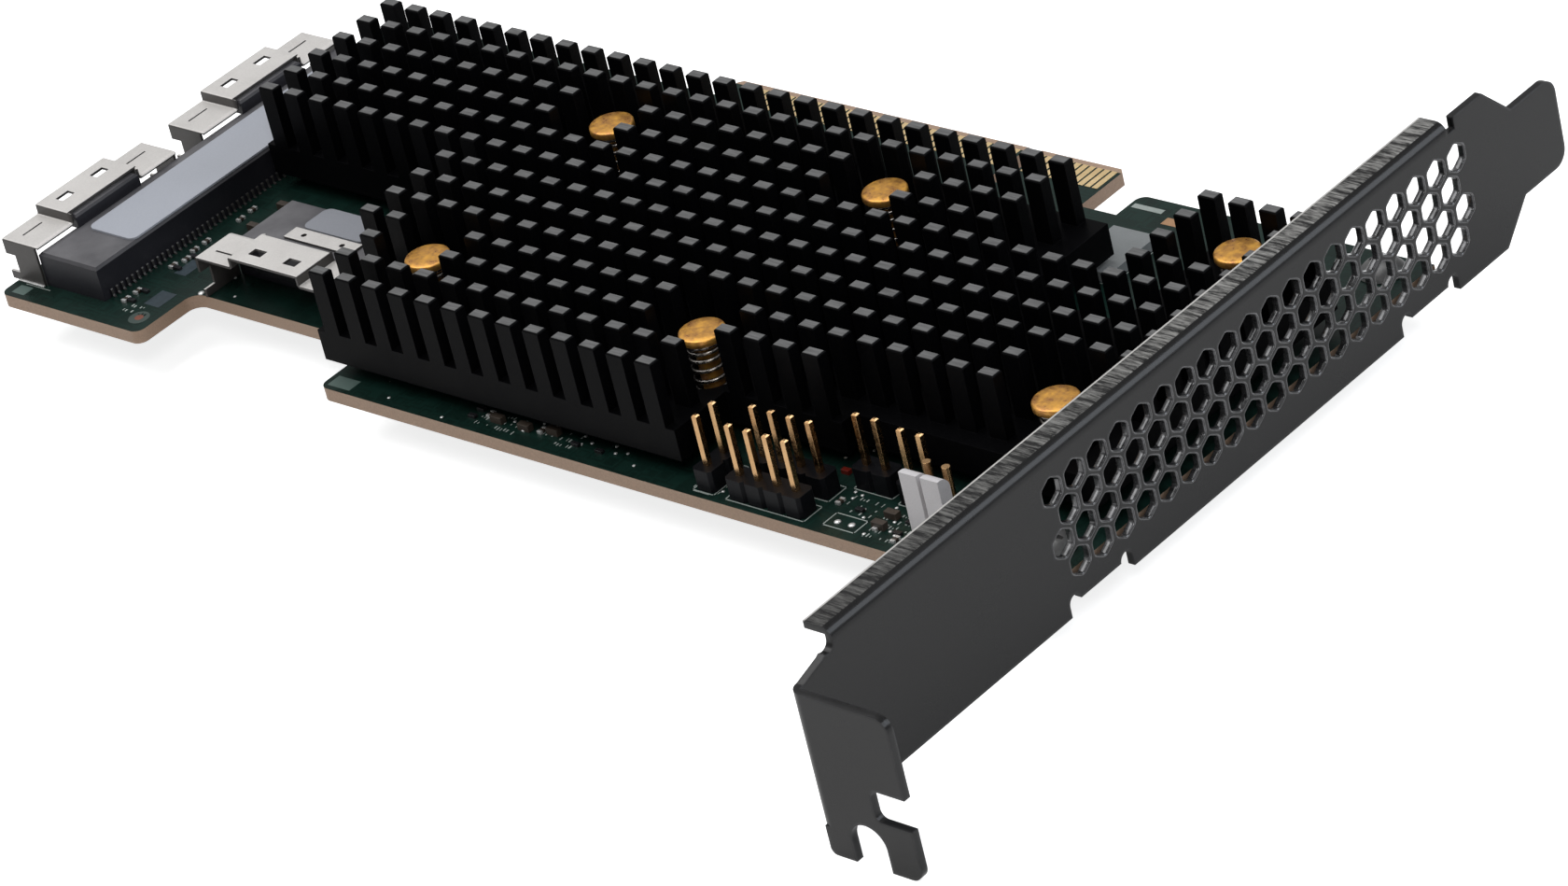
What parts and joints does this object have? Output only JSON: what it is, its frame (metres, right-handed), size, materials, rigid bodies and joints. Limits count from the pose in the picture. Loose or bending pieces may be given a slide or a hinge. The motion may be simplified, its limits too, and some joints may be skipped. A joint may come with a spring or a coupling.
{
  "type": "host bus adapter card",
  "caption": "Plug-in host bus adapter card with a perforated full-height bracket, a stepped pin-fin heat sink on sprung push pins, board edge contacts, and side and end cable ports.",
  "frame": {"origin": "middle of the seat of the bracket's top flange, on the flange's inner face that lies on the computer's ledge", "axes": "+X out of the computer's rear wall, +Y down the bracket towards the edge contacts, +Z the side that the board's components face"},
  "size_m": [0.1652, 0.1211, 0.0217],
  "materials": {
    "bracket_paint": "satin black powder coat",
    "solder_mask": "satin dark green solder mask on glass-fibre board",
    "gold": "bright gold plating",
    "black_anodised": "matte black anodised",
    "chip_resin": "matte moulded resin",
    "grey_chip": "matte grey",
    "thermal_rubber": "soft matte",
    "pin_brass": "polished, lightly brushed",
    "spring_steel": "dark oiled wire",
    "screw_steel": "zinc plated",
    "tin_plate": "bright satin tin plate",
    "housing_resin": "satin black moulding",
    "cap_film": "semi-matte pale grey film",
    "wafer_resin": "satin off-white moulding",
    "ceramic": "matte ceramic",
    "resistor_film": "satin black film"
  },
  "bodies": {
    "root": {"bracket": "bracket_paint", "board": "solder_mask", "edge_contacts": "gold", "heat_sink": "black_anodised", "thermal_pad": "thermal_rubber", "controller_chip": "chip_resin", "regulator_chip": "grey_chip", "push_pins": "pin_brass", "pin_springs": "spring_steel", "board_screws": "screw_steel", "end_port_shell_near": "tin_plate", "end_port_shell_far": "tin_plate", "side_port_shell": "tin_plate", "side_port_clip": "tin_plate", "end_port_housing": "housing_resin", "side_port_housing": "housing_resin", "end_port_cap": "cap_film", "side_port_cap": "cap_film", "header_corner": "housing_resin", "header_upper": "housing_resin", "header_lower": "housing_resin", "header_inner_pair": "housing_resin", "header_outer_pair": "housing_resin", "header_pins": "gold", "wafer": "wafer_resin", "wafer_pins": "gold", "capacitors": "ceramic", "resistors": "resistor_film"}
  },
  "joints": []
}
